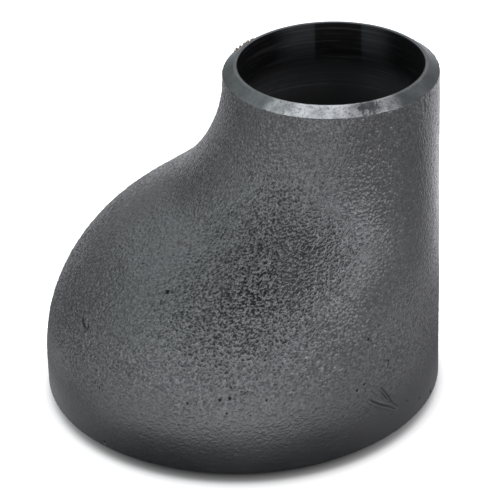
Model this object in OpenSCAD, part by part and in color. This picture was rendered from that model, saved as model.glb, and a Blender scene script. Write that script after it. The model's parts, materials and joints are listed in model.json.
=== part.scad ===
// Eccentric butt-weld pipe reducer, DN 100 x DN 50, standard wall.
// One seamless forging with a paint coat on its outside and another on its bore.
// Every level cross-section is a circle, and all of the outside ones touch the straight side
// at x = +large_od / 2. Both weld ends are true turned surfaces. Between them the forged skin
// is built from flat facets.
// Units are millimetres. z = 0 is the large end's root face, and +z runs to the small end.

/* [Main sizes] */
// Outside diameter of the large end
large_od = 114.3; // [88.9:0.1:168.3]
// Outside diameter of the small end
small_od = 60.3; // [33.4:0.1:88.9]
// Wall at the large end
large_wall = 6.02; // [3:0.01:14]
// Wall at the small end
small_wall = 3.91; // [2.5:0.01:10]
// End to end length
end_to_end = 102; // [100:0.5:104]

/* [Weld ends] */
// Width of the flat root face at the large end
large_root_face = 1.5; // [0.8:0.1:2.4]
// Width of the flat root face at the small end
small_root_face = 0.9; // [0.8:0.1:2.4]
// Bevel angle, measured from the plane of the end
bevel_angle = 37.5; // [30:0.5:40]
// Height of the turned part at the large end
large_turned = 10; // [6:0.5:10.5]
// Depth of the turned bore at the small end
small_turned = 7.8; // [4:0.1:8]

/* [Shoulder outside] */
// Height where the outside starts to turn in
shoulder_start = 11.2; // [11:0.1:14]
// Length of the small end left upright outside
neck_length = 2.3; // [1:0.1:8]
// Radius of the outside's bulging lower curve
shoulder_radius = 52.9; // [45:0.1:54]
// Radius of the outside's hollow upper curve
neck_radius = 44.7; // [40:0.1:46]

/* [Shoulder inside] */
// Height where the bore starts to turn in
bore_shoulder_start = 11; // [11:0.1:12]
// Height where the small bore is straight
bore_neck_end = 94; // [93:0.5:94]
// Radius of the bore's lower curve
bore_shoulder_radius = 46; // [40:0.1:47]
// Radius of the bore's upper curve
bore_neck_radius = 44; // [42:0.1:46]

/* [Coat] */
// Thickness of the paint coat, measured level
coat = 0.12; // [0.1:0.01:0.2]

/* [Hidden] */
$fn = 144;

steel_color = [0.58, 0.59, 0.6];
outer_coat_color = [0.17, 0.17, 0.18];
bore_coat_color = [0.07, 0.07, 0.08];

facets = 72; // flats round each ring
arc_steps = 9; // divisions of each arc of an S curve
// How far the faceted wall's faces are kept inside the turned ends' metal, for a clean join.
nip = 0.08;
// Room between a coat and the turned surface it lies on.
gap = 0.005;

// Radii, and the small end's centre in x.
large_r = large_od / 2;
small_r = small_od / 2;
large_bore_r = large_r - large_wall;
small_bore_r = small_r - small_wall;
small_x = large_r - small_r;
small_inset_r = small_r - small_wall * 0.2; // small turned end, where the faceted wall covers it

// Heights.
large_edge_z = (large_wall - large_root_face) * tan(bevel_angle);
small_edge_z = end_to_end - (small_wall - small_root_face) * tan(bevel_angle);
neck_end_z = end_to_end - neck_length;
small_bore_z = end_to_end - small_turned;
wall_bottom_z = large_turned - 1; // faceted wall, overlapping the large turned end
wall_top_z = small_edge_z - 0.5;
small_upright_z = wall_top_z - 0.3; // bottom of the small end's full-width upright edge

// Heights where each coat changes from a turned end to the facets.
large_seat_z = large_turned + 0.3;
small_outer_seat_z = wall_top_z - 0.6;
small_bore_seat_z = small_bore_z - 0.05;

// Angle from upright of the straight run that touches both arcs of an S curve.
function run_angle(rise, shift, low_radius, high_radius) =
    let (radii = low_radius + high_radius)
    asin(radii / sqrt(rise * rise + (radii - shift) * (radii - shift)))
        - atan2(radii - shift, rise);

// [height, distance moved in] along an S curve that climbs from low to high and moves in by shift.
function s_curve(low, high, shift, low_radius, high_radius) =
    let (
        run = run_angle(high - low, shift, low_radius, high_radius),
        angles = [for (i = [0 : arc_steps]) run * i / arc_steps]
    )
    concat(
        [for (i = [0 : arc_steps])
            [low + low_radius * sin(angles[i]), low_radius * (1 - cos(angles[i]))]],
        [for (i = [arc_steps : -1 : 0])
            [high - high_radius * sin(angles[i]), shift - high_radius * (1 - cos(angles[i]))]]
    );

// Rings are [height, corner radius, centre x].
// The outside's corners lie on the true skin.
outer_curve = [
    for (point = s_curve(shoulder_start, neck_end_z, 2 * small_x, shoulder_radius, neck_radius))
        if (point[0] < wall_top_z)
            [point[0], large_r - point[1] / 2, point[1] / 2]
];

// The bore's straight side leans out as the wall thins.
bore_shift = large_bore_r + small_x - small_bore_r;
bore_curve = [
    for (point = s_curve(bore_shoulder_start, bore_neck_end, bore_shift,
                         bore_shoulder_radius, bore_neck_radius))
        let (
            climbed = (point[0] - bore_shoulder_start) / (bore_neck_end - bore_shoulder_start),
            left = -large_bore_r + point[1],
            right = large_bore_r + (large_wall - small_wall) * climbed
        )
        [point[0], (right - left) / 2, (right + left) / 2]
];

// Outside and bore rings from one height to another.
function outside(low, high) =
    concat([[low, large_r, 0]], outer_curve, [[high, small_r, small_x]]);
function passage(low, high) =
    concat([[low, large_bore_r, 0]], bore_curve, [[high, small_bore_r, small_x]]);

// Rings of a coat's steel side: upright along each turned end, with a curve between.
function coat_seat(low, large_radius, curve, small_seat_z, high, small_radius) = concat(
    [[low, large_radius, 0], [large_seat_z, large_radius, 0]],
    curve,
    [[small_seat_z, small_radius, small_x], [high, small_radius, small_x]]
);

// Corner radius of a ring whose flats lie at a given radius.
function wide(radius) = radius / cos(180 / facets);

// The same rings with their flats, not their corners, at the stated radius.
function flats(rings) = [for (ring = rings) [ring[0], wide(ring[1]), ring[2]]];

// The same rings with their radius increased.
function grown(rings, amount) = [for (ring = rings) [ring[0], ring[1] + amount, ring[2]]];

// One closed wall between an outside list of rings and an inside list of rings.
// Corners start half a facet round, so that a flat faces +x.
module wall(outer, inner) {
    outer_top = len(outer) - 1;
    inner_bottom = outer_top + 1;
    inner_top = outer_top + len(inner);
    points = [
        for (ring = concat(outer, inner)) for (k = [0 : facets - 1])
            let (angle = 360 * (k + 0.5) / facets)
            [ring[2] + ring[1] * cos(angle), ring[1] * sin(angle), ring[0]]
    ];
    function corner(i, k) = i * facets + k % facets;
    // Band of faces between rings i and j.
    function band(i, j) = [
        for (k = [0 : facets - 1])
            [corner(i, k), corner(j, k), corner(j, k + 1), corner(i, k + 1)]
    ];
    // The same band, starting from the next corner and facing the other way.
    function back_band(i, j) = [
        for (k = [0 : facets - 1])
            [corner(i, k), corner(i, k + 1), corner(j, k + 1), corner(j, k)]
    ];
    faces = concat(
        [for (i = [0 : outer_top - 1]) each band(i, i + 1)],
        [for (i = [inner_bottom : inner_top - 1]) each back_band(i, i + 1)],
        back_band(0, inner_bottom),
        band(outer_top, inner_top)
    );
    polyhedron(points = points, faces = faces, convexity = 6);
}

// Large weld end, turned: bevel, upright outside and straight bore.
module large_end() {
    rotate_extrude()
        polygon([
            [large_bore_r, 0],
            [large_bore_r + large_root_face, 0],
            [large_r, large_edge_z],
            [large_r, large_turned],
            [large_bore_r, large_turned]
        ]);
}

// Small weld end, turned: straight bore, root face, bevel and a narrow upright edge.
module small_end() {
    translate([small_x, 0, 0])
        rotate_extrude()
            polygon([
                [small_bore_r, small_bore_z],
                [small_inset_r, small_bore_z],
                [small_inset_r, small_upright_z],
                [small_r, small_upright_z],
                [small_r, small_edge_z],
                [small_bore_r + small_root_face, end_to_end],
                [small_bore_r, end_to_end]
            ]);
}

module forged_shell() {
    color(steel_color)
    union() {
        large_end();
        small_end();
        wall(
            grown(outside(wall_bottom_z, wall_top_z), -nip),
            grown(flats(passage(wall_bottom_z, wall_top_z)), nip)
        );
    }
}

// Along the curves, each coat shares its rings with the steel.
module outer_paint_coat() {
    color(outer_coat_color)
    wall(
        flats(grown(outside(large_edge_z, small_edge_z), coat)),
        coat_seat(large_edge_z, wide(large_r + gap), grown(outer_curve, -nip),
                  small_outer_seat_z, small_edge_z, wide(small_r + gap))
    );
}

module bore_paint_coat() {
    color(bore_coat_color)
    wall(
        coat_seat(0, large_bore_r - gap, grown(flats(bore_curve), nip),
                  small_bore_seat_z, end_to_end, small_bore_r - gap),
        grown(passage(0, end_to_end), -coat)
    );
}

forged_shell();
outer_paint_coat();
bore_paint_coat();
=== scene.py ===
"""An eccentric pipe reducer: forged steel, painted black inside and out, bare bevelled ends.

It stands on its large end at z = 0, centred on the Z axis. The small end is on top, its centre
moved to +X, so the right side (+X) is straight and the left side (-X) is an S-curve. The camera
looks from the front (-Y). Shapes are worked out in millimetres, scene and shaders in metres.
Angles are in degrees from +X, turning towards +Y.
"""
import json
import math
import bmesh
import bpy
import numpy as np
from mathutils import Matrix, Vector


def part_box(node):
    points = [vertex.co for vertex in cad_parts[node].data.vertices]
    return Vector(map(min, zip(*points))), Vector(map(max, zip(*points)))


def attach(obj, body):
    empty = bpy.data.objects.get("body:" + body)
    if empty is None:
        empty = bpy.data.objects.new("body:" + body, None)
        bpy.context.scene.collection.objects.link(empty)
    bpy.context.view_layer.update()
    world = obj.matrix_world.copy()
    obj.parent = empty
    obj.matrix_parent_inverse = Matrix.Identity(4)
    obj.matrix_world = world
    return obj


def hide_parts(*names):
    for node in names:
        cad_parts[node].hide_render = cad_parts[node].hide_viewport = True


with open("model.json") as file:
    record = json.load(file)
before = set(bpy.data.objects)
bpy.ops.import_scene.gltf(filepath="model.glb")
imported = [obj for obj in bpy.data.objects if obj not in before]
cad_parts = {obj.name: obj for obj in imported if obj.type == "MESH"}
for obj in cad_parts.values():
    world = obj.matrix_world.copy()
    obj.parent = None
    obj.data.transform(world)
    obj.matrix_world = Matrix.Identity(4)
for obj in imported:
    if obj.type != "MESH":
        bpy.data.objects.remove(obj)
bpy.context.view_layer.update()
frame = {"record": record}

# ---------------------------------------------------------------- sizes, in millimetres
MM = 0.001
shell_lo, shell_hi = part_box("forged_shell")
coat_lo, coat_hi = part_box("outer_paint_coat")
mounts = {mount["name"]: mount for mount in frame["record"]["mounts"]}

LENGTH = shell_hi[2] / MM
LARGE_R = (shell_hi[0] - shell_lo[0]) / 2 / MM
LARGE_BORE = mounts["large_end_bore"]["dims"]["r_mm"]
SMALL_BORE = mounts["small_end_bore"]["dims"]["r_mm"]
SMALL_X = mounts["small_end_bore"]["pos_m"][0] / MM
SMALL_R = LARGE_R - SMALL_X
COAT = 0.10  # how far a coat's face stands off the steel

LOW_EDGE = coat_lo[2] / MM   # height of the outer edge of the large end's bevel
HIGH_EDGE = coat_hi[2] / MM  # height of the outer edge of the small end's bevel
TAN_BEVEL = math.tan(math.radians(37.5))  # between bevel and end face
LARGE_LAND = LARGE_R - LOW_EDGE / TAN_BEVEL  # radius where bevel and flat land meet
SMALL_LAND = SMALL_R - (LENGTH - HIGH_EDGE) / TAN_BEVEL

BORE_LOW, BORE_HIGH = 11.0, 94.0  # heights between which the bore narrows


# ---------------------------------------------------------------- profile
def s_curve(low, high, shift, low_radius, high_radius):
    """Shift of the left side against height: an arc, a straight run and a second arc."""
    radii = low_radius + high_radius
    rise = high - low
    slope = math.asin(radii / math.hypot(rise, radii - shift)) - math.atan2(radii - shift, rise)
    run_low = low + low_radius * math.sin(slope)
    run_high = high - high_radius * math.sin(slope)
    run_start = low_radius * (1 - math.cos(slope))

    def moved(z):
        z = np.asarray(z, float)
        low_arc = low_radius - np.sqrt(np.maximum(low_radius * low_radius - (z - low) ** 2, 0))
        high_arc = (
            shift - high_radius
            + np.sqrt(np.maximum(high_radius * high_radius - (high - z) ** 2, 0))
        )
        result = np.where(z < high, high_arc, shift)
        result = np.where(z <= run_high, run_start + (z - run_low) * math.tan(slope), result)
        result = np.where(z <= run_low, low_arc, result)
        return np.where(z <= low, 0.0, result)

    return moved


outer_moved = s_curve(
    low=11.2, high=LENGTH - 2.3, shift=2 * SMALL_X, low_radius=52.9, high_radius=44.7)
bore_moved = s_curve(
    low=BORE_LOW, high=BORE_HIGH, shift=LARGE_BORE + SMALL_X - SMALL_BORE,
    low_radius=46.0, high_radius=44.0)


def outer_ring(z):
    """(radius, centre x) of the outside at height z."""
    moved = outer_moved(z)
    return LARGE_R - moved / 2, moved / 2


def bore_ring(z):
    """(radius, centre x) of the bore at height z."""
    left = -LARGE_BORE + bore_moved(z)
    lean = np.clip((z - BORE_LOW) / (BORE_HIGH - BORE_LOW), 0, 1)
    right = LARGE_BORE + (SMALL_X + SMALL_BORE - LARGE_BORE) * lean
    return (right - left) / 2, (right + left) / 2


# ---------------------------------------------------------------- noise and blending
def perlin(points, seed):
    """Gradient noise at points whose unit is one lattice cell."""
    rng = np.random.RandomState(seed)
    order = rng.permutation(256)
    order = np.concatenate([order, order])
    slopes = rng.normal(size=(256, 3))
    slopes /= np.linalg.norm(slopes, axis=1, keepdims=True)
    cell = np.floor(points).astype(np.int64)
    inside = points - cell
    cell &= 255
    fade = inside * inside * inside * (inside * (inside * 6 - 15) + 10)
    result = np.zeros(len(points))
    for dx in (0, 1):
        weight_x = fade[:, 0] if dx else 1 - fade[:, 0]
        hash_x = order[(cell[:, 0] + dx) & 255]
        for dy in (0, 1):
            weight_y = fade[:, 1] if dy else 1 - fade[:, 1]
            hash_y = order[hash_x + ((cell[:, 1] + dy) & 255)]
            for dz in (0, 1):
                weight_z = fade[:, 2] if dz else 1 - fade[:, 2]
                slope = slopes[order[hash_y + ((cell[:, 2] + dz) & 255)]]
                result += weight_x * weight_y * weight_z * (
                    slope[:, 0] * (inside[:, 0] - dx)
                    + slope[:, 1] * (inside[:, 1] - dy)
                    + slope[:, 2] * (inside[:, 2] - dz)
                )
    return result


def noise_sum(points, *layers):
    """Sum of noise layers, each (height, cell size, seed)."""
    return sum(height * perlin(points / size, seed) for height, size, seed in layers)


def ramp(value, start, end):
    """Smooth step from 0 at start to 1 at end."""
    t = np.clip((value - start) / (end - start), 0, 1)
    return t * t * (3 - 2 * t)


def between(start, end, share):
    return start + (end - start) * share


# ---------------------------------------------------------------- mesh helpers
def circle(count):
    angle = np.arange(count) / count * 2 * math.pi
    return np.stack([np.cos(angle), np.sin(angle)], -1)


def rings_to_grid(z, radius, centre, count):
    """Points of horizontal rings, as an array (rings, count, 3)."""
    unit = circle(count)
    grid = np.empty((len(z), count, 3))
    grid[..., 0] = centre[:, None] + radius[:, None] * unit[None, :, 0]
    grid[..., 1] = radius[:, None] * unit[None, :, 1]
    grid[..., 2] = z[:, None]
    return grid


def push_out(grid, distance):
    """Move an open grid of rings that go upwards along its outward normals."""
    upward = np.gradient(grid, axis=0)
    wrapped = np.concatenate([grid[:, -1:], grid, grid[:, :1]], axis=1)
    around = (wrapped[:, 2:] - wrapped[:, :-2]) / 2
    normals = np.cross(around, upward)
    normals = normals / np.linalg.norm(normals, axis=-1, keepdims=True)
    return grid + normals * distance.reshape(grid.shape[:2])[..., None]


def link_object(name, mesh):
    made = bpy.data.objects.new(name, mesh)
    bpy.context.scene.collection.objects.link(made)
    return made


def closed_mesh(name, grid):
    """A closed skin: each ring joins the next, and the last joins the first."""
    rings, count, _ = grid.shape
    verts = (grid * MM).reshape(-1, 3)
    i = np.arange(rings)[:, None]
    j = np.arange(count)[None, :]
    next_i, next_j = (i + 1) % rings, (j + 1) % count
    quads = np.stack(
        [i * count + j, i * count + next_j, next_i * count + next_j, next_i * count + j], -1
    ).reshape(-1, 4)
    # a negative volume means the faces look inwards
    a, b, c, d = (verts[quads[:, corner]] for corner in range(4))
    volume = (
        np.einsum("ij,ij->i", a, np.cross(b, c)).sum()
        + np.einsum("ij,ij->i", a, np.cross(c, d)).sum()
    )
    if volume < 0:
        quads = quads[:, ::-1]
    mesh = bpy.data.meshes.new(name)
    mesh.vertices.add(len(verts))
    mesh.vertices.foreach_set("co", verts.astype(np.float32).ravel())
    mesh.loops.add(quads.size)
    mesh.loops.foreach_set("vertex_index", quads.astype(np.int32).ravel())
    mesh.polygons.add(len(quads))
    mesh.polygons.foreach_set("loop_start", np.arange(0, quads.size, 4, dtype=np.int32))
    mesh.polygons.foreach_set("use_smooth", np.ones(len(quads), bool))
    mesh.update(calc_edges=True)
    mesh.validate()
    return link_object(name, mesh)


def on_coat(degrees, z):
    """Point on the outer coat's face."""
    radius, centre = outer_ring(z)
    angle = math.radians(degrees)
    radius = radius + COAT
    return np.array([centre + radius * math.cos(angle), radius * math.sin(angle), z])


def line_distance(points, line):
    """Distance to a polyline, and how far along it the nearest place is, 0 to 1."""
    best = np.full(len(points), 1e9)
    along = np.zeros(len(points))
    parts = len(line) - 1
    for j in range(parts):
        step = line[j + 1] - line[j]
        t = np.clip(((points - line[j]) @ step) / (step @ step), 0, 1)
        distance = np.linalg.norm(points - line[j] - t[:, None] * step, axis=1)
        near = distance < best
        best = np.where(near, distance, best)
        along = np.where(near, (j + t) / parts, along)
    return best, along


# ---------------------------------------------------------------- outer coat
OUTER_COUNT = 1400    # points round a ring
OUTER_SPACING = 0.265  # between rings, along the left side

# Where the skin is coarser or smoother: (x, z, width in x, width in z, change)
COARSENESS = [
    (2, 50, 22, 18, 1.3),      # middle
    (-46, 27, 15, 18, 1.0),    # low left
    (50, 25, 13, 16, 0.7),     # low right
    (38, 52, 10, 9, -0.35),
    (38, 76, 10, 12, -0.3),
    (-24, 66, 17, 12, -0.48),
    (27, 24, 9, 12, -0.25),
    (57, 74, 10, 36, -0.6),    # straight side, high up
]

# (angle, z, radius, depth)
PITS = [
    (-125.0, 51.5, 0.62, 0.55), (176.0, 44.9, 0.5, 0.3), (-156.2, 53.5, 0.38, 0.22),
    (-142.5, 54.1, 0.36, 0.18), (-133.2, 21.5, 0.42, 0.3), (-95.0, 26.5, 0.5, 0.38),
    (-92.2, 27.1, 0.5, 0.4), (-92.5, 30.3, 0.42, 0.28), (-81.8, 26.3, 0.42, 0.28),
    (-80.0, 30.7, 0.36, 0.2), (-54.0, 23.1, 0.46, 0.32), (-51.5, 24.1, 0.46, 0.3),
    (-51.2, 37.5, 0.52, 0.38), (-92.5, 22.5, 0.38, 0.24), (-104.0, 24.7, 0.44, 0.3),
    (-130.8, 4.7, 0.5, 0.4), (-42.5, 27.9, 0.5, 0.38), (-58.5, 30.1, 0.38, 0.24),
    (-17.2, 4.9, 0.6, 0.3), (-33.0, 10.5, 0.42, 0.24),
]
RANDOM_PITS = 150
PIT_SCALE = 0.86  # on every pit's radius

# (depth, width, height of the raised lip, [(angle, z), ...])
GROOVES = [
    # lens shape low on the right front
    (0.28, 0.25, 0.24, [(-46.4, 21.4), (-45.0, 20.4), (-43.8, 18.9), (-42.0, 16.3),
                        (-40.8, 14.1), (-38.6, 11.6)]),
    (0.18, 0.24, 0.16, [(-45.6, 20.6), (-44.6, 18.6), (-43.2, 16.6), (-41.6, 14.4)]),
    (0.3, 0.26, 0.24, [(-49.8, 18.7), (-46.8, 16.3), (-44.5, 14.7), (-42.0, 13.1),
                       (-39.2, 10.9)]),
    (0.18, 0.24, 0.26, [(-38.6, 12.4), (-38.1, 11.2), (-39.2, 10.4)]),
    # nick on the left front, with a scratch below it
    (0.5, 0.62, 0.34, [(-149.9, 36.6), (-148.6, 35.4), (-147.0, 34.8), (-146.2, 34.6)]),
    (0.4, 0.5, 0.1, [(-146.0, 36.2), (-145.0, 35.3), (-145.4, 34.4)]),
    (0.14, 0.4, 0.16, [(-146.0, 33.6), (-144.0, 31.4), (-142.4, 29.0)]),
    # short mark near the top, right front
    (0.16, 0.36, 0.06, [(-32.4, 98.4), (-31.4, 96.4), (-31.2, 94.6)]),
]


def skin_texture(points):
    """(displacement, fine part of it, painted shade in the hollows) of the shot-blasted skin."""
    x, z = points[:, 0], points[:, 2]

    def near(at_x, at_z, width_x, width_z):
        return np.exp(-(((x - at_x) / width_x) ** 2) - ((z - at_z) / width_z) ** 2)

    coarse = 0.18 + 0.72 * ramp(z, 8, 31)
    for *place, change in COARSENESS:
        coarse = coarse * (1 + change * near(*place))
    # a crease that leans right as it rises
    crease = np.exp(-(((x - 4 - 0.36 * (z - 52)) / 6.5) ** 2))
    crease = crease * ramp(z, 44, 54) * (1 - ramp(z, 76, 86))
    coarse = coarse * (1 + 0.5 * crease)

    patch = 1 + noise_sum(points, (0.35, 16, 3))
    peel = noise_sum(points, (0.25, 0.49, 11), (0.17, 0.78, 12), (0.06, 1.4, 17))
    lumps = noise_sum(points, (0.07, 2.6, 13), (0.09, 6.5, 14))
    wall = noise_sum(points, (0.16, 21, 15), (0.12, 45, 16))
    fine = coarse * patch * peel
    height = fine + (0.4 + 0.6 * coarse) * (0.3 + 0.7 * ramp(z, 9, 30)) * lumps + wall

    # painted shade in the hollows of the middle and along the crease
    relief = fine / 0.15
    hollow_shade = np.clip(-0.42 * relief + 0.12 * crease, 0, 0.62)
    hollow_shade = hollow_shade * np.clip(0.9 * near(5, 50, 19, 15) + crease, 0, 1)
    return height, relief, hollow_shade


def pit_heights(grid, z):
    rng = np.random.RandomState(41)
    pits = list(PITS)
    for _ in range(RANDOM_PITS):
        pits.append((
            rng.uniform(-180, 180), rng.uniform(6, 96),
            rng.uniform(0.26, 0.4), rng.uniform(0.08, 0.2),
        ))
    unit = circle(OUTER_COUNT)
    ring_degrees = np.degrees(np.arctan2(unit[:, 1], unit[:, 0]))
    heights = np.zeros(grid.shape[:2])
    for degrees, pit_z, radius, depth in pits:
        radius *= PIT_SCALE
        # only points within three radii, counted on a ring of 25 mm
        reach = radius * 3
        rows = np.where(np.abs(z - pit_z) < reach)[0]
        turned = np.abs((ring_degrees - degrees + 180) % 360 - 180)
        columns = np.where(turned < math.degrees(reach / 25))[0]
        part = np.ix_(rows, columns)
        away = np.linalg.norm(grid[part] - on_coat(degrees, pit_z), axis=-1) / radius
        hollow = -depth * np.exp(-away ** 4)
        rim = 0.1 * depth * np.exp(-((away - 1.5) / 0.4) ** 2)
        heights[part] += hollow + rim
    return heights.ravel()


def add_grooves(points, height):
    """(height with the grooves cut into it, depth of cut)."""
    cut = np.zeros(len(points))
    for depth, width, lip, places in GROOVES:
        away, along = line_distance(points, [on_coat(*place) for place in places])
        fade = np.sin(np.clip(along, 0.02, 0.98) * math.pi) ** 0.5
        height = height + fade * (
            -depth * np.exp(-((away / width) ** 2))
            + lip * np.exp(-(((away - 1.9 * width) / width) ** 2))
        )
        cut = np.maximum(cut, fade * depth * np.exp(-((away / (0.8 * width)) ** 2)))
    return height, cut


def ragged_edges(grid):
    """Make the coat's top and bottom edges uneven, over three rings each."""
    unit = circle(OUTER_COUNT)
    # noise is read on circles of 30 and 57 mm, so that it closes on itself
    top = np.c_[unit * 30, np.full(OUTER_COUNT, 5.0)]
    low = np.c_[unit * 57, np.full(OUTER_COUNT, 9.0)]
    top_wave = noise_sum(top, (0.10, 3.1, 21), (0.16, 9.0, 22))
    top_wave -= 0.2 * np.clip(perlin(top / 1.1, 23) - 0.33, 0, 1)
    low_wave = noise_sum(low, (0.12, 4.0, 24)) + 0.2 * np.clip(perlin(low / 1.4, 25) - 0.3, 0, 1)
    for step in range(3):
        grid[-1 - step, :, 2] += top_wave * (1 - step / 3)
        grid[step, :, 2] += low_wave * (1 - step / 3)


def outer_coat():
    # rings spaced evenly along the curved left side
    fine_z = np.linspace(LOW_EDGE, HIGH_EDGE, 4000)
    steps = np.hypot(np.diff(fine_z), np.diff(outer_moved(fine_z)))
    along = np.concatenate([[0], np.cumsum(steps)])
    z = np.interp(np.linspace(0, along[-1], int(along[-1] / OUTER_SPACING)), along, fine_z)
    radius, centre = outer_ring(z)
    grid = rings_to_grid(z, radius + COAT, centre, OUTER_COUNT)
    points = grid.reshape(-1, 3)

    height, relief, hollow_shade = skin_texture(points)
    pits = pit_heights(grid, z)
    height, cut = add_grooves(points, height + pits)
    # painted shade: darker in pits, in cut grooves and in the hollows
    cavity_shade = np.clip(np.maximum.reduce([-pits / 0.24, cut / 0.34, hollow_shade]), 0, 1)
    grid = push_out(grid, height)
    ragged_edges(grid)

    # hidden back of the film, a little way inside the steel
    back_z = np.linspace(HIGH_EDGE - 0.02, LOW_EDGE + 0.02, 30)
    radius, centre = outer_ring(back_z)
    back = rings_to_grid(back_z, radius - 0.95, centre, OUTER_COUNT)
    made = closed_mesh("outer_coat_skin", np.concatenate([grid, back], 0))
    for name, values in (("relief", relief), ("cavity_shade", cavity_shade)):
        full = np.zeros(len(made.data.vertices), np.float32)
        full[: len(values)] = values
        made.data.attributes.new(name, "FLOAT", "POINT").data.foreach_set("value", full)
    return made


# ---------------------------------------------------------------- steel
def turned_face(grid, ring_numbers, seed, centre_x):
    """Tool marks that run round a bevel, and a slightly wavy face."""
    count = grid.shape[1]
    unit = circle(count)
    for i in ring_numbers:
        ring = grid[i]
        spoke = (ring - np.array([centre_x, 0, 0]))[:, :2]
        outward = np.c_[spoke / np.linalg.norm(spoke, axis=1, keepdims=True), np.zeros(count)]
        tool_place = np.c_[unit * 6, np.full(count, i * 0.37)]
        tool = 0.006 * math.sin(i * 2.1) + 0.006 * perlin(tool_place, seed)
        face = noise_sum(ring, (0.02, 2.2, seed + 1), (0.012, 0.9, seed + 2))
        grid[i] = ring + outward * (tool + face)[:, None]


def steel():
    # rings are (z, radius, centre x): large end from the bore's edge outwards
    rings = [
        (1.6, LARGE_BORE, 0), (0.5, LARGE_BORE, 0),
        (0.12, LARGE_BORE + 0.02, 0), (0.02, LARGE_BORE + 0.12, 0),
    ]
    rings += [(0.0, between(LARGE_BORE, LARGE_LAND, t), 0) for t in np.linspace(0.14, 0.9, 6)]
    rings.append((0.03, LARGE_LAND - 0.02, 0))
    large_start = len(rings)
    rings += [(t * LOW_EDGE, between(LARGE_LAND, LARGE_R, t), 0)
              for t in np.linspace(0.03, 0.975, 20)]
    large_end = len(rings)
    rings += [
        (LOW_EDGE - 0.03, LARGE_R - 0.02, 0),
        (LOW_EDGE + 0.1, LARGE_R, 0),
        (LOW_EDGE + 0.3, LARGE_R - 0.1, 0),
    ]
    # outer wall, under the coat
    z = np.linspace(LOW_EDGE + 0.7, HIGH_EDGE - 1.6, 34)
    radius, centre = outer_ring(z)
    rings += zip(z, radius - 0.8, centre)
    # small end, from the outside inwards
    rings += [
        (HIGH_EDGE - 1.0, SMALL_R, SMALL_X),
        (HIGH_EDGE - 0.1, SMALL_R, SMALL_X),
        (HIGH_EDGE + 0.03, SMALL_R - 0.02, SMALL_X),
    ]
    small_start = len(rings)
    rings += [(between(HIGH_EDGE, LENGTH, t), between(SMALL_R, SMALL_LAND, t), SMALL_X)
              for t in np.linspace(0.03, 0.975, 26)]
    small_end = len(rings)
    rings.append((LENGTH - 0.02, SMALL_LAND - 0.01, SMALL_X))
    rings += [(LENGTH, between(SMALL_LAND, SMALL_BORE, t), SMALL_X)
              for t in np.linspace(0.1, 0.85, 6)]
    rings += [(LENGTH - drop, SMALL_BORE + extra, SMALL_X)
              for drop, extra in ((0.02, 0.08), (0.12, 0.01), (0.5, 0), (1.6, 0))]
    # bore wall, under its coat
    z = np.linspace(LENGTH - 2.4, 2.4, 34)
    radius, centre = bore_ring(z)
    rings += zip(z, radius + 0.6, centre)
    grid = rings_to_grid(*np.array(rings, float).T, count=840)

    turned_face(grid, range(large_start, large_end), seed=31, centre_x=0.0)
    turned_face(grid, range(small_start, small_end), seed=51, centre_x=SMALL_X)
    # dings in the small end, at the land's outer edge and the bore's edge
    for first, last in ((-2, 2), (6, 9)):
        for i in range(small_end + first, small_end + last + 1):
            ring = grid[i]
            ding = np.clip(perlin(ring / 1.3, 61) - 0.22, 0, 1) * 0.45
            ding = ding + noise_sum(ring, (0.02, 3.0, 62))
            grid[i, :, 2] -= np.abs(ding) * 0.6
    return closed_mesh("forged_steel_ends", grid)


# ---------------------------------------------------------------- bore coat
def bore_coat():
    count = 720
    # closer rings in the upper part
    z = np.concatenate([np.linspace(0.06, 60, 90)[:-1], np.linspace(60, LENGTH - 0.06, 190)])
    radius, centre = bore_ring(z)
    # boring-tool lines in the small end, with a faint step where the tool stopped
    tool_pitch = 1.25
    lines = 0.014 * np.sin(z * 2 * math.pi / tool_pitch) * ramp(z, 81.5, 83.5)
    lines = lines + 0.02 * ramp(z, 81.6, 82.2)
    grid = rings_to_grid(z, radius - COAT + lines, centre, count)
    points = grid.reshape(-1, 3)
    rough = 1 - 0.75 * ramp(points[:, 2], 78, 86)
    height = (
        rough * noise_sum(points, (0.05, 2.2, 71), (0.07, 7, 72))
        + rough * noise_sum(points, (0.10, 24, 73))
        + noise_sum(points, (0.012, 5, 74))
    )
    grid = push_out(grid, height)
    # hidden back of the film
    back_z = np.linspace(LENGTH - 0.1, 0.1, 34)
    radius, centre = bore_ring(back_z)
    back = rings_to_grid(back_z, radius + 0.5, centre, count)
    return closed_mesh("bore_coat_skin", np.concatenate([grid, back], 0))


# ---------------------------------------------------------------- burrs on the rim
# (angle, how far up and in along the bevel, size)
CRUMBS = [
    (153.0, 0.15, 0.62), (150.2, 0.35, 0.5), (147.6, 0.9, 0.6), (145.5, 0.5, 0.48),
    (143.2, 0.25, 0.66), (140.6, 0.7, 0.42), (138.2, 0.2, 0.5), (135.4, 0.15, 0.36),
    (156.0, 0.3, 0.34), (149.0, 1.3, 0.4), (144.2, 1.2, 0.36), (132.0, 0.1, 0.3),
]


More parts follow.
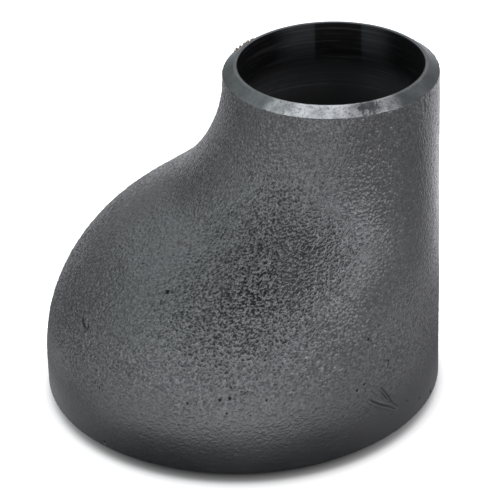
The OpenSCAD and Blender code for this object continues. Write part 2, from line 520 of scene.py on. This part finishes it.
def crumbs():
    """Small rough chips along the outer edge of the small end's bevel, at the back left."""
    rng = np.random.RandomState(7)
    bm = bmesh.new()
    for degrees, up, size in CRUMBS:
        angle = math.radians(degrees)
        ring = SMALL_R + 0.12 - up * 0.95
        base = Vector((
            SMALL_X + ring * math.cos(angle),
            ring * math.sin(angle),
            HIGH_EDGE + up * 0.72 + 0.1,
        )) * MM
        radius = size * MM * 0.8
        verts = bmesh.ops.create_icosphere(bm, subdivisions=3, radius=radius)["verts"]
        noise_place = rng.uniform(0, 50, 3)
        points = np.array([list(vert.co) for vert in verts]) / radius
        bumps = perlin(points * 1.3 + noise_place, 81)
        tilt = Matrix.Rotation(rng.uniform(-0.6, 0.6), 3, "X")
        turn = Matrix.Rotation(angle, 3, "Z") @ tilt
        for vert, height in zip(verts, bumps):
            place = vert.co * (1 + 0.75 * float(height))
            # flattened, and longer along the rim
            place.x *= 0.7
            place.y *= 1.25
            place.z *= 0.75
            vert.co = turn @ place + base
    for face in bm.faces:
        face.smooth = True
    mesh = bpy.data.meshes.new("rim_crumbs")
    bm.to_mesh(mesh)
    bm.free()
    return link_object("rim_crumbs", mesh)


# ---------------------------------------------------------------- shader helpers
class Shader:
    """A node tree with short ways to add nodes; all but node() return an output socket."""

    def __init__(self, tree):
        self.tree = tree
        tree.nodes.clear()

    def node(self, kind, inputs=None, **settings):
        made = self.tree.nodes.new("ShaderNode" + kind)
        for name, value in settings.items():
            setattr(made, name, value)
        self.feed(made, inputs or {})
        return made

    def feed(self, node, inputs):
        """Link or set inputs, given by name or number."""
        for key, value in inputs.items():
            if isinstance(value, bpy.types.NodeSocket):
                self.tree.links.new(value, node.inputs[key])
            else:
                node.inputs[key].default_value = value

    def noise(self, scale, detail=3.0, roughness=0.55, at=None):
        inputs = {"Scale": scale, "Detail": detail, "Roughness": roughness,
                  "Vector": at or self.place}
        return self.node("TexNoise", inputs).outputs["Fac"]

    def remap(self, value, span, to=(0.0, 1.0), smooth=True):
        """Carry the range span over to the range to, held at both ends."""
        inputs = {"Value": value, "From Min": span[0], "From Max": span[1],
                  "To Min": to[0], "To Max": to[1]}
        kind = "SMOOTHSTEP" if smooth else "LINEAR"
        return self.node("MapRange", inputs, interpolation_type=kind).outputs["Result"]

    def mix(self, start, end, by):
        """Blend two colours."""
        start, end = ((*c, 1) if isinstance(c, tuple) else c for c in (start, end))
        return self.node("Mix", {0: by, 6: start, 7: end}, data_type="RGBA").outputs[2]

    def mix_values(self, start, end, by):
        return self.node("Mix", {0: by, 2: start, 3: end}, data_type="FLOAT").outputs[0]

    def math(self, operation, *values):
        return self.node("Math", dict(enumerate(values)), operation=operation).outputs[0]

    def add(self, total, *others):
        for other in others:
            total = self.math("ADD", total, other)
        return total

    def times(self, total, *others):
        for other in others:
            total = self.math("MULTIPLY", total, other)
        return total

    def length(self, a, b):
        """Length of the vector (a, b)."""
        return self.math("SQRT", self.add(self.times(a, a), self.times(b, b)))

    def sway(self, noise, amount):
        """Noise moved to lie about zero, times amount."""
        return self.times(self.math("SUBTRACT", noise, 0.5), amount)

    def axes(self, vector):
        return self.node("SeparateXYZ", {0: vector}).outputs

    def joined(self, x, y):
        return self.node("CombineXYZ", {0: x, 1: y}).outputs[0]

    def bump(self, height, strength, distance, normal=None):
        inputs = {"Strength": strength, "Distance": distance, "Height": height}
        if normal is not None:
            inputs["Normal"] = normal
        return self.node("Bump", inputs).outputs["Normal"]

    def attribute(self, name):
        return self.node("Attribute", attribute_name=name).outputs["Fac"]

    def camera_ray(self):
        return self.node("LightPath").outputs["Is Camera Ray"]


def new_material(name):
    material = bpy.data.materials.new(name)
    material.use_nodes = True
    shader = Shader(material.node_tree)
    shader.output = shader.node("OutputMaterial")
    shader.bsdf = shader.node("BsdfPrincipled")
    shader.feed(shader.output, {"Surface": shader.bsdf.outputs["BSDF"]})
    shader.place = shader.node("TexCoord").outputs["Object"]
    return material, shader


# ---------------------------------------------------------------- materials
def coat_material():
    material, sh = new_material("black_coat_on_shot_blasted_skin")
    relief, cavity_shade = sh.attribute("relief"), sh.attribute("cavity_shade")
    cloud = sh.noise(scale=55.0, detail=4.0)
    fine = sh.noise(scale=1300.0, detail=2.0)
    color = sh.mix((0.0075, 0.0079, 0.0083), (0.0115, 0.0117, 0.0122),
                   by=sh.remap(cloud, span=(0.35, 0.68)))
    # painted highlight on the crests and painted shade in the hollows
    color = sh.mix(color, (0.028, 0.0282, 0.0290),
                   by=sh.remap(relief, span=(-0.6, 1.4), to=(0.0, 0.5)))
    color = sh.mix(color, (0.030, 0.030, 0.030),
                   by=sh.remap(fine, span=(0.40, 0.80), to=(0.0, 0.35)))
    # painted shade in pits, grooves and hollows
    color = sh.mix(color, (0.003, 0.003, 0.003), by=cavity_shade)
    roughness = sh.add(
        sh.remap(cloud, span=(0.3, 0.7), to=(0.16, 0.23)),
        sh.remap(relief, span=(-1.4, 1.2), to=(0.06, -0.02)),
        sh.times(cavity_shade, 0.4),
    )
    shine = sh.times(
        sh.remap(relief, span=(-1.3, 1.2), to=(0.30, 0.95)),
        sh.remap(cavity_shade, span=(0.0, 1.0), to=(1.0, 0.25)),
    )
    grain = sh.noise(scale=2100.0, detail=2.0, roughness=0.5)
    sh.feed(sh.bsdf, {
        "Base Color": color,
        "Roughness": roughness,
        "IOR": 1.5,
        "Specular IOR Level": shine,
        "Normal": sh.bump(grain, strength=0.7, distance=0.00013),
    })
    return material


# Pale rings in the bore near where the tool stopped, in metres: (height, half width, strength)
TOOL_RINGS = [
    (0.0823, 0.00030, 0.8), (0.0838, 0.00016, 0.55),
    (0.0861, 0.00014, 0.4), (0.0885, 0.00013, 0.3),
]


def bore_material():
    material, sh = new_material("glossy_black_bore_coat")
    cloud = sh.noise(scale=60.0, detail=3.0)
    color = sh.mix((0.052, 0.0527, 0.0537), (0.070, 0.0708, 0.0718),
                   by=sh.remap(cloud, span=(0.3, 0.7)))
    x, y, z = sh.axes(sh.place)
    # angle about the small end's axis
    turn = sh.math("ARCTAN2", y, sh.math("SUBTRACT", x, SMALL_X * MM))
    # the boring tool's lines: noise stretched round the bore
    line = sh.noise(scale=1.0, detail=3.0, roughness=0.6,
                    at=sh.joined(sh.times(turn, 1.1), sh.times(z, 1500.0)))
    # painted reflection: two faint greyer bands at the back of the mouth, each with one crisp
    # upright edge
    high = sh.remap(z, span=(0.086, 0.098))
    left_reflection = sh.times(
        sh.remap(turn, span=np.radians((100, 102))),
        sh.remap(turn, span=np.radians((112, 132)), to=(1.0, 0.0)),
    )
    right_reflection = sh.times(
        sh.remap(turn, span=np.radians((70.5, 72.5)), to=(1.0, 0.0)),
        sh.remap(turn, span=np.radians((46, 64))),
    )
    painted_reflection = sh.times(sh.add(left_reflection, right_reflection), high,
                    sh.remap(line, span=(0.3, 0.7), to=(0.45, 1.0)))
    # black mouth, then its lines and the painted reflection bands
    color = sh.mix(color, (0.001, 0.001, 0.001),
                   by=sh.remap(z, span=(0.081, 0.093), to=(0.0, 0.98)))
    line_strength = sh.times(sh.remap(z, span=(0.080, 0.083)),
                             sh.remap(line, span=(0.54, 0.66), to=(0.0, 0.42)))
    color = sh.mix(color, (0.034, 0.035, 0.0355), by=line_strength)
    color = sh.mix(color, (0.026, 0.0282, 0.0296), by=painted_reflection)
    for height, half_width, strength in TOOL_RINGS:
        away = sh.math("ABSOLUTE", sh.math("SUBTRACT", z, height))
        ring = sh.times(
            sh.remap(away, span=(0.0, half_width), to=(strength, 0.0)),
            sh.remap(cloud, span=(0.38, 0.62), to=(0.2, 1.0)),
        )
        color = sh.mix(color, (0.14, 0.143, 0.146), by=ring)
    # painted shade: blacker over the front half and on the straight side
    color = sh.mix(color, (0.004, 0.004, 0.0042),
                   by=sh.remap(turn, span=np.radians((12, 58)), to=(0.8, 0.0)))
    grain = sh.noise(scale=700.0, detail=2.0)
    sh.feed(sh.bsdf, {
        "Base Color": color,
        "Roughness": sh.remap(cloud, span=(0.3, 0.7), to=(0.36, 0.46)),
        "Specular IOR Level": 0.16,
        "Normal": sh.bump(grain, strength=0.12, distance=0.00005),
    })
    return material


def steel_material():
    material, sh = new_material("turned_steel_weld_end")
    cloud = sh.noise(scale=170.0, detail=5.0, roughness=0.65)
    speck = sh.noise(scale=1500.0, detail=3.0, roughness=0.6)
    broad = sh.noise(scale=45.0, detail=3.0)
    x, y, z = sh.axes(sh.place)
    from_axis = sh.math("SUBTRACT", x, SMALL_X * MM)
    radius = sh.length(from_axis, y)
    # tool marks that run round the small end
    marks = sh.noise(scale=1.0, detail=2.0, roughness=0.5,
                     at=sh.joined(sh.times(radius, 9000.0), sh.times(z, 9000.0)))
    dull = sh.mix((0.052, 0.057, 0.057), (0.086, 0.092, 0.092),
                  by=sh.remap(cloud, span=(0.34, 0.66)))
    highlight_color = sh.mix((0.17, 0.172, 0.173), (0.47, 0.472, 0.476),
                   by=sh.remap(cloud, span=(0.30, 0.68)))
    # painted highlight: the front of the small end, which faces the camera, is painted bright; the
    # rest stays dull
    facing = sh.math("DIVIDE", sh.times(y, -1.0), radius)
    painted_highlight = sh.remap(sh.add(facing, sh.sway(broad, 0.35)), span=(0.76, 0.97))
    upper = sh.remap(z, span=(0.05, 0.06))
    color = sh.mix(sh.mix((0.060, 0.062, 0.062), dull, by=upper), highlight_color,
                   by=sh.times(painted_highlight, upper))
    # a dark stain on the right front of the small end
    side = sh.math("DIVIDE", from_axis, radius)
    away = sh.math("ABSOLUTE", sh.math("SUBTRACT", side, math.cos(math.radians(-67))))
    blot = sh.add(away, sh.sway(cloud, 0.5), sh.sway(speck, 0.35))
    stain = sh.times(sh.remap(blot, span=(0.0, 0.085), to=(0.88, 0.0)),
                     sh.math("GREATER_THAN", facing, 0.0))
    color = sh.mix(color, (0.030, 0.033, 0.036), by=sh.times(stain, upper))
    color = sh.mix(color, (0.045, 0.047, 0.048),
                   by=sh.remap(speck, span=(0.50, 0.68), to=(0.0, 0.62)))
    mark_bump = sh.bump(marks, strength=0.25, distance=0.00003)
    sh.feed(sh.bsdf, {
        "Base Color": color,
        "Metallic": 1.0,
        "Roughness": sh.add(
            sh.remap(cloud, span=(0.3, 0.7), to=(0.34, 0.46)),
            sh.remap(marks, span=(0.3, 0.7), to=(-0.04, 0.05)),
        ),
        "Normal": sh.bump(speck, strength=0.3, distance=0.00004, normal=mark_bump),
    })
    return material


def crumb_material():
    material, sh = new_material("rusty_burr")
    speck = sh.noise(scale=1500.0, detail=3.0)
    sh.feed(sh.bsdf, {
        "Base Color": sh.mix((0.16, 0.11, 0.06), (0.52, 0.45, 0.33),
                             by=sh.remap(speck, span=(0.35, 0.65))),
        "Roughness": 0.62,
        "Metallic": 0.25,
        "Normal": sh.bump(speck, strength=0.5, distance=0.0001),
    })
    return material


# Brightness of the floor in reflections, near the object and further out
FLOOR_NEAR, FLOOR_FAR = 3.3, 1.65


def floor_glow(sh, x, y, far, flank):
    """Brightness of the floor as reflections see it: darker towards the object's foot."""
    foot = sh.times(sh.remap(flank, span=(0.028, 0.062), to=(0.07, 0.6)),
                    sh.remap(x, span=(0.01, 0.05), to=(1.0, 0.88)))
    glow = sh.mix_values(foot, FLOOR_NEAR, by=sh.remap(far, span=(0.064, 0.121)))
    glow = sh.math("SUBTRACT", glow,
                   sh.remap(far, span=(0.13, 0.20), to=(0.0, FLOOR_NEAR - FLOOR_FAR)))
    glow = sh.add(glow, sh.remap(far, span=(0.21, 0.33), to=(0.0, 0.8)))
    # dimmer towards the back, and to the right
    depth = sh.add(sh.remap(y, span=(-0.04, 0.06), to=(1.0, 0.22)),
                   sh.remap(y, span=(0.06, 0.14), to=(0.0, 0.45)))
    glow = sh.times(glow, depth, sh.remap(x, span=(0.02, 0.11), to=(1.0, 0.45)))
    # light at the back right
    glow = sh.add(glow, sh.times(sh.remap(x, span=(0.060, 0.092)),
                                 sh.remap(y, span=(0.0, 0.115), to=(0.0, 0.75))))
    # a soft darker place round (-0.098, -0.030), and a darker left side
    away = sh.length(sh.add(x, 0.098), sh.add(y, 0.030))
    return sh.times(glow, sh.remap(away, span=(0.008, 0.040), to=(0.6, 1.0)),
                    sh.remap(x, span=(-0.11, -0.03), to=(0.52, 1.0)))


def floor_material():
    """Pale paper to the camera, a shaped glow to every other ray."""
    material, sh = new_material("pale_floor")
    far = sh.node("VectorMath", {0: sh.place}, operation="LENGTH").outputs["Value"]
    x, y, _ = sh.axes(sh.place)
    flank = sh.math("ABSOLUTE", x)
    # contact shadow under the bevel's overhang and just outside it
    shade = sh.add(
        sh.remap(far, span=(0.0525, 0.0578), to=(0.05, 0.66), smooth=False),
        sh.remap(far, span=(0.0585, 0.0690), to=(0.0, 0.34), smooth=False),
        sh.remap(flank, span=(0.020, 0.050), to=(0.07, 0.17)),
    )
    shade = sh.math("MINIMUM", shade, 1.0)
    paper = sh.mix((0.90, 0.875, 0.85), (0.92, 0.895, 0.87), by=sh.noise(scale=8.0, detail=2.0))
    open_air = sh.remap(far, span=(0.0555, 0.0595), to=(0.0, 0.33), smooth=False)
    sh.feed(sh.bsdf, {
        "Roughness": 0.9,
        "Specular IOR Level": 0.1,
        "Base Color": sh.mix((0.0, 0.0, 0.0), paper, by=shade),
        "Emission Color": (1, 1, 1, 1),
        "Emission Strength": sh.add(sh.times(shade, 0.10), open_air),
    })
    glow = sh.node("Emission", {
        "Color": (0.975, 0.98, 1.035, 1),
        "Strength": floor_glow(sh, x, y, far, flank),
    })
    switch = sh.node("MixShader", {
        0: sh.camera_ray(), 1: glow.outputs[0], 2: sh.bsdf.outputs[0]})
    sh.feed(sh.output, {"Surface": switch.outputs[0]})
    return material


# ---------------------------------------------------------------- pieces
# (shape, material, CAD piece it replaces, slot)
for build, make_material, replaced, slot in (
    (outer_coat, coat_material, "outer_paint_coat", "outer_coat"),
    (steel, steel_material, "forged_shell", "forged_steel"),
    (bore_coat, bore_material, "bore_paint_coat", "bore_coat"),
    (crumbs, crumb_material, None, "forged_steel"),
):
    piece = build()
    piece.data.materials.append(make_material())
    if replaced:
        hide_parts(replaced)
    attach(piece, "root")


# ---------------------------------------------------------------- floor
def add_floor():
    half = 6.0
    mesh = bpy.data.meshes.new("floor")
    corners = [(-half, -half, 0), (half, -half, 0), (half, half, 0), (-half, half, 0)]
    mesh.from_pydata(corners, [], [(0, 1, 2, 3)])
    floor = link_object("floor", mesh)
    floor.location = (0, 0, -0.0001)
    floor.data.materials.append(floor_material())


# ---------------------------------------------------------------- light
# Soft round lights in the sky: (direction, degrees of full light, degrees where it ends, strength)
SKY_LIGHTS = [
    ((-0.12, 0.42, 0.88), 26, 62, 1.6),
    ((-1.0, -0.3, 0.4), 16, 46, 1.3),
    ((0.87, -0.5, 0.27), 16, 44, 2.0),
    ((0.62, 0.62, 0.42), 14, 40, 0.42),
]
SKY_BASE = 0.25
SKY_TO_CAMERA = 1.02  # plain brightness the camera sees


def sky_light(sh, direction, toward, inner, outer, strength):
    dot = sh.node("VectorMath", {0: direction, 1: Vector(toward).normalized()},
                  operation="DOT_PRODUCT")
    span = (math.cos(math.radians(outer)), math.cos(math.radians(inner)))
    return sh.remap(dot.outputs["Value"], span=span, to=(0.0, strength))


def add_world():
    world = bpy.data.worlds.new("studio")
    bpy.context.scene.world = world
    world.use_nodes = True
    sh = Shader(world.node_tree)
    direction = sh.node("TexCoord").outputs["Generated"]
    x, y, z = sh.axes(direction)
    # a band of light low in front
    heights = (math.sin(math.radians(10)), math.sin(math.radians(27)))
    low_front = sh.times(sh.remap(z, span=heights, to=(2.9, 0.0)),
                         sh.remap(y, span=(-0.75, -0.2), to=(1.0, 0.0)))
    lights = [sky_light(sh, direction, *light) for light in SKY_LIGHTS]
    sky = sh.add(sh.add(SKY_BASE, 0.0), low_front, *lights)
    camera_ray = sh.camera_ray()
    tint = sh.mix((0.94, 1.0, 1.03), (0.97, 0.98, 1.035), by=sh.remap(x, span=(-0.5, 0.2)))
    background = sh.node("Background", {
        "Color": sh.mix(tint, (1.0, 1.0, 1.0), by=camera_ray),
        "Strength": sh.mix_values(sky, SKY_TO_CAMERA, by=camera_ray),
    })
    sh.node("OutputWorld", {"Surface": background.outputs[0]})


# ---------------------------------------------------------------- camera
# A long lens, 29 degrees above the floor, a little to the straight side; angles in radians
AZIMUTH, ELEVATION, ROLL = 0.052, 0.512, -0.030
DISTANCE = 0.860227
TARGET = Vector((0.002935, 0.0, 0.042366))


def add_camera():
    back = Vector((
        math.sin(AZIMUTH) * math.cos(ELEVATION),
        -math.cos(AZIMUTH) * math.cos(ELEVATION),
        math.sin(ELEVATION),
    ))
    level_right = (-back).cross(Vector((0, 0, 1))).normalized()
    level_up = level_right.cross(-back)
    right = level_right * math.cos(ROLL) + level_up * math.sin(ROLL)
    up = level_up * math.cos(ROLL) - level_right * math.sin(ROLL)
    data = bpy.data.cameras.new("camera")
    data.sensor_width = 36.0
    data.lens = 215.08344
    data.clip_start, data.clip_end = 0.05, 50.0
    camera = link_object("camera", data)
    turn = Matrix((right, up, back)).transposed().to_4x4()
    camera.matrix_world = Matrix.Translation(TARGET + back * DISTANCE) @ turn
    bpy.context.scene.camera = camera


add_floor()
add_world()
view = bpy.context.scene.view_settings
view.view_transform = "Standard"
view.look = "None"
view.exposure = 0.0
view.gamma = 1.0
add_camera()

bpy.context.view_layer.update()
